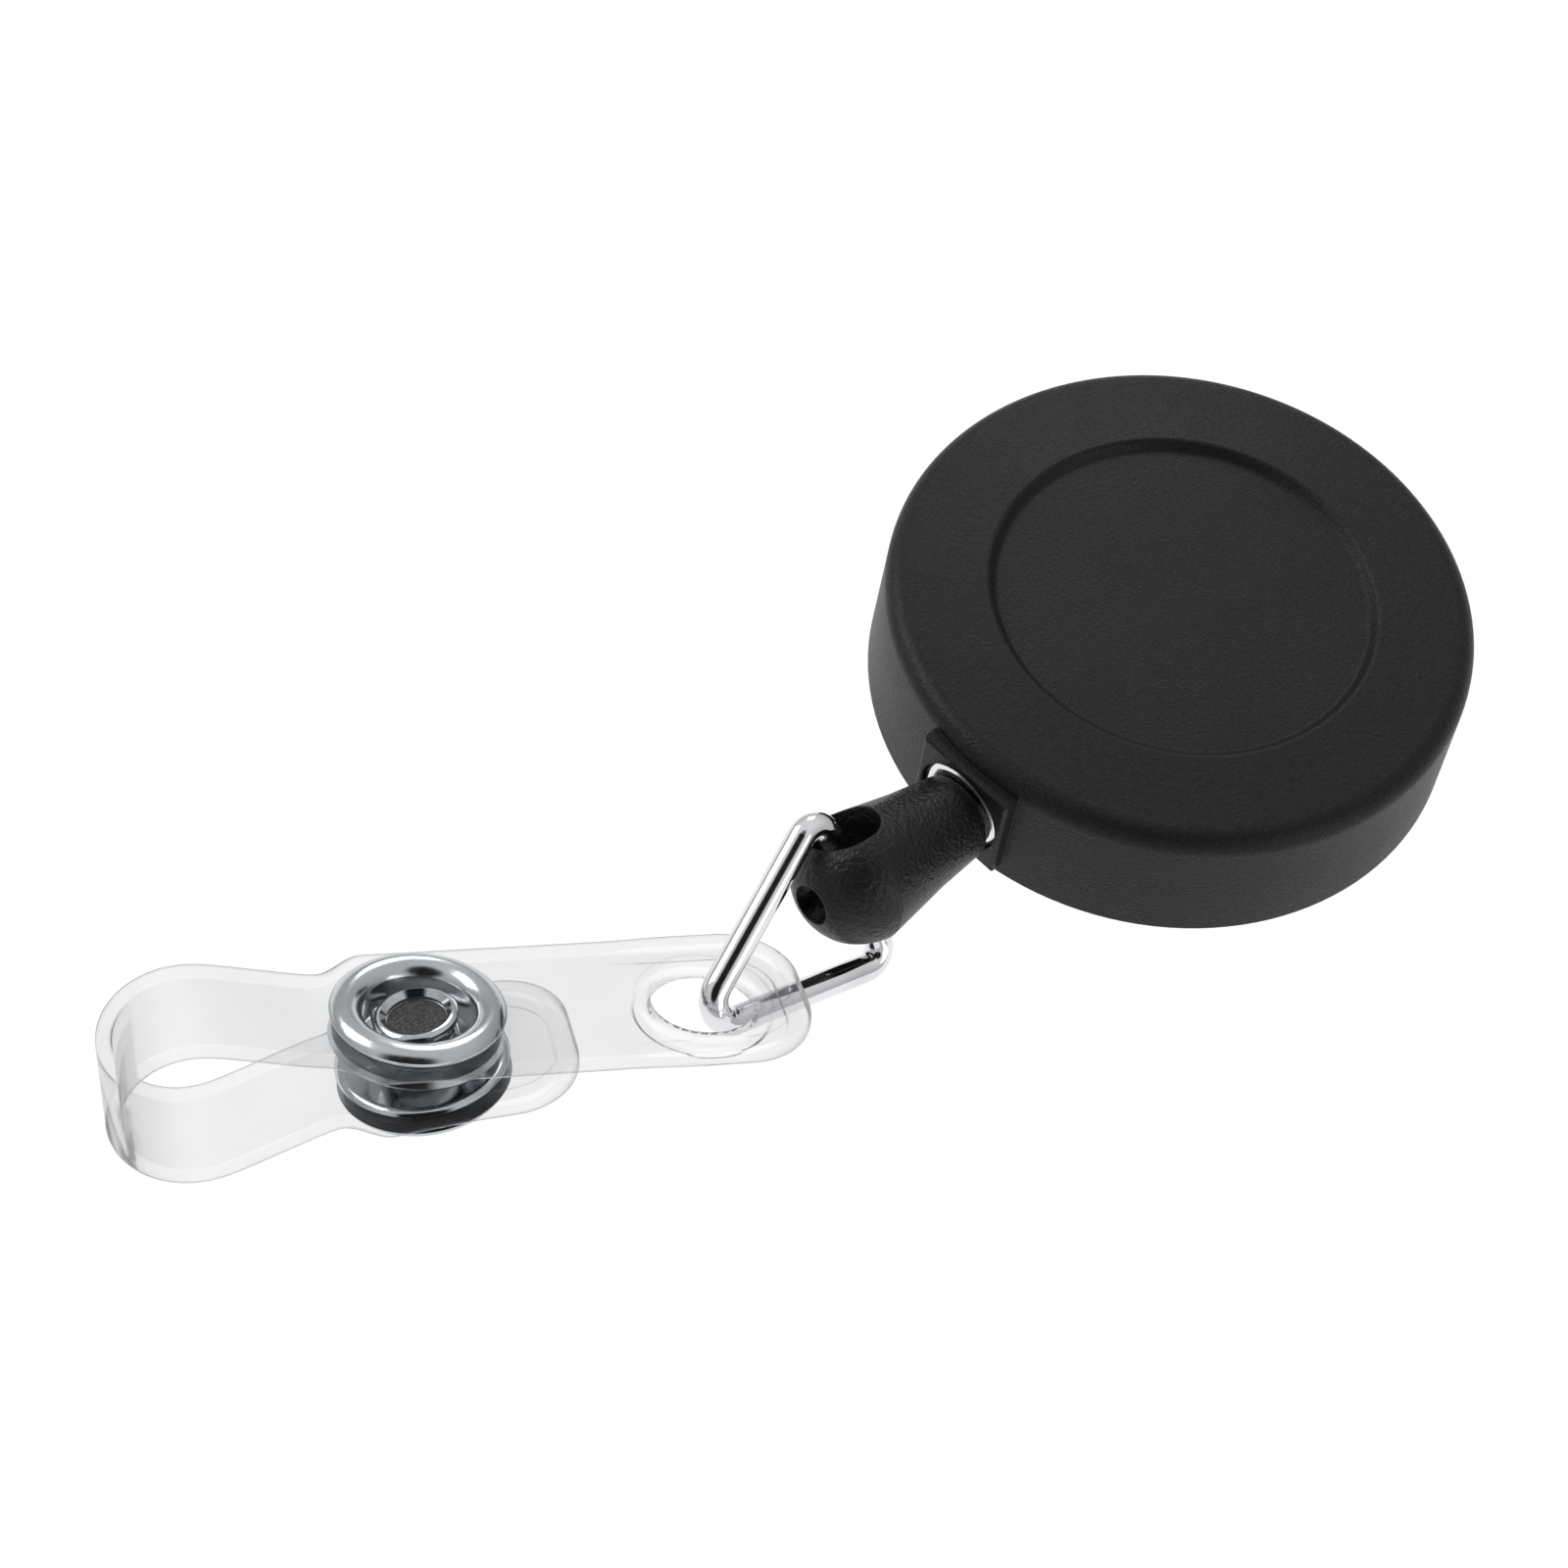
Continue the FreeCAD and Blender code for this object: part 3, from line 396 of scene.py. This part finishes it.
def thin_out(points, gap):
    """Drop points that nearly repeat an earlier one."""
    taken = {}
    kept = []
    for index, (x, y) in enumerate(points):
        cell = (int(math.floor(x / gap)), int(math.floor(y / gap)))
        near = [taken.get((cell[0] + i, cell[1] + j)) for i in (-1, 0, 1) for j in (-1, 0, 1)]
        if all(other is None or (points[other][0] - x) ** 2 + (points[other][1] - y) ** 2 > gap ** 2
               for other in near):
            taken[cell] = index
            kept.append(index)
    return points[kept]


EDGE_STEPS = np.array([0.04, 0.09, 0.15, 0.22, 0.30, 0.38]) * MM
BORDER = 1.15 * MM
RIM_WIDTH = 0.95 * MM


def smooth_step(value, low, high):
    """0 below low, 1 above high, and smooth between."""
    share = np.clip((value - low) / (high - low), 0, 1)
    return share * share * (3 - 2 * share)


def build_strap():
    """One moulded strap: a flat sheet with holes, raised borders and rounded edges, bent to its fold."""
    places, line, outward, total = strap_path()
    ring_hole = np.array([LONG_END - RING_HOLE_PLACE, HOLE_SHIFT])
    holes = [
        (ring_hole, RING_HOLE),
        (np.array([LONG_END - SNAP_PLACE, HOLE_SHIFT]), SOCKET_HOLE),
        (np.array([total - FLAP_LENGTH + SNAP_FROM_NECK, HOLE_SHIFT]), SHANK_HOLE),
    ]
    outline = strap_outline(total)
    loops = [outline] + [circle(centre, radius) for centre, radius in holes]
    inside = []
    following = np.roll(outline, -1, axis=0) - np.roll(outline, 1, axis=0)
    inward = np.stack([following[:, 1], -following[:, 0]], 1)
    inward /= np.linalg.norm(inward, axis=1)[:, None]
    middle = np.array([total / 2, 0])
    if ((middle - outline[0]) * inward[0]).sum() < 0:
        inward = -inward
    for step in EDGE_STEPS:
        inside.append(outline + inward * step)
    bordered = (outline[:, 0] < 11 * MM) | (outline[:, 0] > total - 7 * MM)
    for step in np.arange(-0.18, 0.19, 0.06) * MM + BORDER:
        inside.append((outline + inward * step)[bordered])
    for centre, radius in holes:
        for step in EDGE_STEPS:
            inside.append(circle(centre, radius + step))
    for step in np.arange(-0.3, 0.31, 0.06) * MM + RIM_WIDTH:
        inside.append(circle(ring_hole, RING_HOLE + step))
    grid = 0.4 * MM
    along, across = np.meshgrid(np.arange(grid / 2, total, grid), np.arange(-5 * MM, 5 * MM, grid))
    inside.append(np.stack([along.ravel(), across.ravel()], 1))
    inner = thin_out(np.vstack(inside), 0.045 * MM)
    edge = distance_to_loop(inner, outline)
    widths = np.array([half_width(place, total) if 0 < place < total else 0 for place in inner[:, 0]])
    keep = (edge > 0.03 * MM) & (np.abs(inner[:, 1]) < widths)
    for centre, radius in holes:
        keep &= np.linalg.norm(inner - centre, axis=1) > radius + 0.03 * MM
    points = np.vstack(loops + [inner[keep]])
    edges = []
    first = 0
    for loop in loops:
        count = len(loop)
        edges += [(first + k, first + (k + 1) % count) for k in range(count)]
        first += count
    vertices, _, faces, _, _, _ = delaunay_2d_cdt(
        [Vector(point * 1000) for point in points], edges, [], 1, 1e-6)
    flat = np.array([tuple(vertex) for vertex in vertices]) / 1000
    faces = np.array(faces)
    middles = flat[faces].mean(1)
    solid = np.ones(len(faces), bool)
    for centre, radius in holes:
        solid &= np.linalg.norm(middles - centre, axis=1) > radius * 0.995
    faces = faces[solid]

    edge = distance_to_loop(flat, outline)
    for centre, radius in holes:
        edge = np.minimum(edge, np.abs(np.linalg.norm(flat - centre, axis=1) - radius))
    rounding = 0.34 * MM
    inset = np.clip(rounding - edge, 0, rounding)
    half = THICKNESS / 2 - rounding + np.sqrt(rounding ** 2 - inset ** 2)
    border = 1 - smooth_step(distance_to_loop(flat, outline), BORDER - 0.1 * MM, BORDER + 0.1 * MM)
    near_ring = 1 - smooth_step(flat[:, 0], 6 * MM, 10 * MM)
    near_flap_end = smooth_step(flat[:, 0], total - 6 * MM, total - 3 * MM)
    border *= near_ring + near_flap_end
    rim = 1 - smooth_step(np.linalg.norm(flat - ring_hole, axis=1), RING_HOLE + RIM_WIDTH - 0.25 * MM,
                          RING_HOLE + RIM_WIDTH)
    half = half + 0.1 * MM * border + 0.16 * MM * rim

    def bend(sign):
        centre = np.stack([np.interp(flat[:, 0], places, line[:, k]) for k in (0, 1)], 1)
        out = np.stack([np.interp(flat[:, 0], places, outward[:, k]) for k in (0, 1)], 1)
        out /= np.linalg.norm(out, axis=1)[:, None]
        moved = centre + out * (sign * half)[:, None]
        return np.stack([moved[:, 0], flat[:, 1], moved[:, 1]], 1)

    count = len(flat)
    mesh_faces = [tuple(face) for face in faces] + [tuple(face[::-1] + count) for face in faces]
    borders = {}
    for face in faces:
        for a, b in zip(face, np.roll(face, -1)):
            borders[(a, b)] = borders.get((a, b), 0) + 1
    for a, b in borders:
        if (b, a) not in borders:
            mesh_faces.append((b, a, a + count, b + count))
    mesh = bpy.data.meshes.new("clear_strap")
    mesh.from_pydata(np.vstack([bend(1), bend(-1)]).tolist(), [], mesh_faces)
    mesh.transform(strap_frame())
    return finish_mesh("clear_strap", mesh)


def finish_mesh(name, mesh):
    """Point a mesh's faces outwards, shade it smooth and link its object."""
    shape = bmesh.new()
    shape.from_mesh(mesh)
    loose = [vertex for vertex in shape.verts if not vertex.link_faces]
    bmesh.ops.delete(shape, geom=loose, context="VERTS")
    bmesh.ops.recalc_face_normals(shape, faces=shape.faces)
    shape.to_mesh(mesh)
    shape.free()
    mesh.polygons.foreach_set("use_smooth", [True] * len(mesh.polygons))
    piece = bpy.data.objects.new(name, mesh)
    bpy.context.scene.collection.objects.link(piece)
    return piece


# ---------------------------------------------------------------- the cord

CORD_RADIUS = 0.4 * MM
COIL_LEAVE = Vector((5.90, -11.19, 3.5)) * MM
CASE_INSIDE = Vector((0, -14.3, 3.5)) * MM
CASE_OUTLET = Vector((0, -16.4, 3.5)) * MM
BULLET_FLOOR = 1.6 * MM
STRANDS = 8
WEAVE_TURN = 0.35
WEAVE_DEPTH = 0.06


def even_points(corners, step, softness):
    """Points step apart along a line of corners, with the corners smoothed."""
    corners = np.array(corners)
    lengths = np.concatenate([[0], np.cumsum(np.linalg.norm(np.diff(corners, axis=0), axis=1))])
    places = np.linspace(0, lengths[-1], int(lengths[-1] / step))
    points = np.stack([np.interp(places, lengths, corners[:, k]) for k in range(3)], 1)
    for _ in range(softness):
        points[1:-1] = (points[:-2] + 2 * points[1:-1] + points[2:]) / 4
    return points


def build_cord():
    """The braided cord from where it leaves the coil to the knot, as a tube with eight crossing strands."""
    start = Vector(joints["bullet_swivel"]["pos_m"])
    inward = Vector(joints["bullet_swivel"]["axis"]).normalized() * BULLET_FLOOR
    centres = even_points([COIL_LEAVE, CASE_INSIDE, CASE_OUTLET, start, start + inward], 0.06 * MM, 8)
    sides = 24
    vertices = []
    for index, centre in enumerate(centres):
        ahead = centres[min(index + 1, len(centres) - 1)] - centres[max(index - 1, 0)]
        turn = Vector(ahead).to_track_quat("Z", "Y").to_matrix()
        for side in range(sides):
            angle = 2 * math.pi * side / sides
            strand = STRANDS / 2 * angle
            weave = math.cos(strand + WEAVE_TURN * index) * math.cos(strand - WEAVE_TURN * index)
            radius = CORD_RADIUS * (1 - WEAVE_DEPTH + WEAVE_DEPTH * weave)
            spoke = Vector((radius * math.cos(angle), radius * math.sin(angle), 0))
            vertices.append(Vector(centre) + turn @ spoke)
    faces = []
    for index in range(len(centres) - 1):
        first = index * sides
        for side in range(sides):
            after = (side + 1) % sides
            faces.append((first + side, first + after, first + sides + after, first + sides + side))
    faces.append(tuple(range(sides)))
    faces.append(tuple(range(len(vertices) - sides, len(vertices))))
    mesh = bpy.data.meshes.new("braided_cord")
    mesh.from_pydata([tuple(vertex) for vertex in vertices], [], faces)
    return finish_mesh("braided_cord", mesh)


# ---------------------------------------------------------------- dress the frame

case_black = moulded_plastic("case_black", (0.003, 0.0031, 0.0035), (0.009, 0.0093, 0.010),
                             0.17 * MM, 0.045 * MM, 0.40, 0.12 * MM, 0.20)
bullet_black = moulded_plastic("bullet_black", (0.001, 0.001, 0.0012), (0.006, 0.006, 0.0065),
                               0.26 * MM, 0.10 * MM, 0.32, 0.15 * MM, 0.30)
ring_chrome = polished_metal("ring_chrome", (0.80, 0.81, 0.83), 0.05, 0.5 * MM)
snap_nickel = polished_metal("snap_nickel", (0.52, 0.54, 0.56), 0.15, 0.3 * MM)
eyelet_nickel = polished_metal("eyelet_nickel", (0.82, 0.82, 0.82), 0.12, 0.4 * MM)
clip_steel = polished_metal("clip_steel", (0.66, 0.67, 0.69), 0.16, 0.6 * MM)
spring_steel = polished_metal("spring_steel", (0.5, 0.51, 0.55), 0.2, 0.5 * MM)
spool_plastic = satin_plastic("spool_plastic", (0.7, 0.7, 0.67))
cord_black = braided_cord("cord_black")
strap_clear = clear_vinyl("strap_clear")
stud_axis = strap_frame().to_3x3() @ Matrix.Rotation(-FLAP_TILT, 3, "Y") @ Vector((0, 0, 1))
tilt_centre = strap_frame() @ Vector((SNAP_PLACE, HOLE_SHIFT, LEG_LEVEL + THICKNESS / 2 - FLAP_PIVOT))
stud_floor = tilt_centre + stud_axis * STUD_FLOOR
stud_nickel = stud_metal("stud_nickel", (0.52, 0.54, 0.56), stud_floor, stud_axis, STUD_BORE)

LOOKS = {
    "front_cover": case_black, "rear_cover": case_black, "cord_end_bullet": bullet_black,
    "outlet_eyelet": eyelet_nickel, "spool": spool_plastic, "spool_lid": spool_plastic,
    "power_spring": spring_steel, "snap_spring": snap_nickel, "cord_coil": cord_black,
    "cord_run": cord_black, "cord_knot": cord_black, "wire_ring": ring_chrome,
    "strap_long_leg": strap_clear, "strap_short_leg": strap_clear, "strap_fold": strap_clear,
    "snap_socket_ring": snap_nickel, "snap_socket_base": snap_nickel, "snap_stud": stud_nickel,
    "snap_post_cap": snap_nickel, "belt_clip_plate": clip_steel, "belt_clip_tongue": clip_steel,
    "belt_clip_rivet": clip_steel,
}
for node, look in LOOKS.items():
    dress(node, look)

strap = build_strap()
strap.data.materials.append(strap_clear)
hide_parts("strap_long_leg", "strap_fold", "strap_short_leg")
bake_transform(strap)

cord = build_cord()
cord.data.materials.append(cord_black)
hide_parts("cord_run")
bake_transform(cord)


# ---------------------------------------------------------------- stage, light and camera


HANG_ROOM = 50 * MM


def make_floor():
    """A pale floor that stays bright, low enough for the strap to hang clear of it in every pose."""
    mesh = bpy.data.meshes.new("floor")
    half = 1.5
    level = cad_box[0].z - HANG_ROOM
    mesh.from_pydata([(-half, -half, level), (half, -half, level), (half, half, level), (-half, half, level)],
                     [], [(0, 1, 2, 3)])
    floor = bpy.data.objects.new("floor", mesh)
    bpy.context.scene.collection.objects.link(floor)
    nodes = Nodes("floor_white")
    speck = nodes.noise(2 * MM, 3.0)
    shade = nodes.colour(speck, (0.10, 0.10, 0.10), (0.13, 0.13, 0.13))
    nodes.link(shade, nodes.surface.inputs["Base Color"])
    nodes.put("Roughness", 0.9)
    nodes.put("Specular IOR Level", 0.0)
    nodes.put("Emission Color", (1, 1, 1, 1))
    nodes.put("Emission Strength", 0.94)
    mesh.materials.append(nodes.material)


CAMERA_PLACE = Vector((0.0563, -0.1015, 0.1518))
CAMERA_AZIMUTH = 38.7
CAMERA_ELEVATION = 55.7
CAMERA_ROLL = 9.05


def camera_axes():
    """The camera's right, up and backward directions."""
    azimuth, elevation, roll = (math.radians(a) for a in (CAMERA_AZIMUTH, CAMERA_ELEVATION, CAMERA_ROLL))
    back = Vector((math.sin(azimuth) * math.cos(elevation), -math.cos(azimuth) * math.cos(elevation),
                   math.sin(elevation)))
    level = Vector((math.cos(azimuth), math.sin(azimuth), 0))
    upright = back.cross(level)
    right = level * math.cos(roll) + upright * math.sin(roll)
    return right, back.cross(right), back


def make_camera():
    """The camera, at the object's main view."""
    data = bpy.data.cameras.new("camera")
    data.lens = 78.75
    data.sensor_width = 36
    data.clip_start = 0.01
    camera = bpy.data.objects.new("camera", data)
    bpy.context.scene.collection.objects.link(camera)
    turn = Matrix(camera_axes()).transposed().to_4x4()
    camera.matrix_world = Matrix.Translation(CAMERA_PLACE) @ turn
    bpy.context.scene.camera = camera


def make_world():
    """White to the camera; to the object, a studio that is bright above and dark behind the camera."""
    world = bpy.data.worlds.new("studio")
    bpy.context.scene.world = world
    world.use_nodes = True
    tree = world.node_tree
    tree.nodes.clear()

    def add(kind, **settings):
        node = tree.nodes.new(kind)
        for key, setting in settings.items():
            setattr(node, key, setting)
        return node

    output = add("ShaderNodeOutputWorld")
    seen = add("ShaderNodeBackground")
    seen.inputs["Color"].default_value = (1, 1, 1, 1)
    room = add("ShaderNodeBackground")
    pick = add("ShaderNodeMixShader")
    path = add("ShaderNodeLightPath")
    tree.links.new(path.outputs["Is Camera Ray"], pick.inputs["Fac"])
    tree.links.new(room.outputs[0], pick.inputs[1])
    tree.links.new(seen.outputs[0], pick.inputs[2])
    tree.links.new(pick.outputs[0], output.inputs["Surface"])
    coords = add("ShaderNodeTexCoord")
    split = add("ShaderNodeSeparateXYZ")
    tree.links.new(coords.outputs["Generated"], split.inputs[0])
    height = add("ShaderNodeMapRange", interpolation_type="SMOOTHSTEP")
    for key, setting in zip(("From Min", "From Max", "To Min", "To Max"), (-0.1, 0.9, 0.62, 1.0)):
        height.inputs[key].default_value = setting
    tree.links.new(split.outputs["Z"], height.inputs["Value"])
    facing = add("ShaderNodeVectorMath", operation="DOT_PRODUCT")
    facing.inputs[1].default_value = camera_axes()[2]
    tree.links.new(coords.outputs["Generated"], facing.inputs[0])
    dark = add("ShaderNodeMapRange", interpolation_type="SMOOTHSTEP")
    for key, setting in zip(("From Min", "From Max", "To Min", "To Max"),
                            (math.cos(math.radians(36)), math.cos(math.radians(22)), 1.0, 0.02)):
        dark.inputs[key].default_value = setting
    tree.links.new(facing.outputs["Value"], dark.inputs["Value"])
    level = add("ShaderNodeMath", operation="MULTIPLY")
    tree.links.new(height.outputs["Result"], level.inputs[0])
    tree.links.new(dark.outputs["Result"], level.inputs[1])
    tree.links.new(level.outputs[0], room.inputs["Strength"])


def soft_light(name, direction, distance, size, power):
    """A square softbox in the given direction from the object, aimed at it."""
    centre = (cad_box[0] + cad_box[1]) / 2
    data = bpy.data.lights.new(name, "AREA")
    data.size = size
    data.energy = power
    lamp = bpy.data.objects.new(name, data)
    bpy.context.scene.collection.objects.link(lamp)
    place = Vector(direction).normalized()
    lamp.location = centre + place * distance
    lamp.rotation_mode = "QUATERNION"
    lamp.rotation_quaternion = place.to_track_quat("Z", "Y")
    lamp.visible_camera = False


make_floor()
make_camera()
make_world()
right, up, back = camera_axes()
soft_light("key", -0.9 * right + 0.9 * up + 0.5 * back, 0.5, 0.25, 1.2)
soft_light("fill", 0.9 * right - 0.5 * up + 0.6 * back, 0.6, 0.3, 0.5)
far_side = Vector((-back.x, -back.y, 0)).normalized()
soft_light("sheen", far_side + Vector((0, 0, 0.75)), 0.5, 0.18, 0.4)
bpy.context.scene.view_settings.view_transform = "Standard"
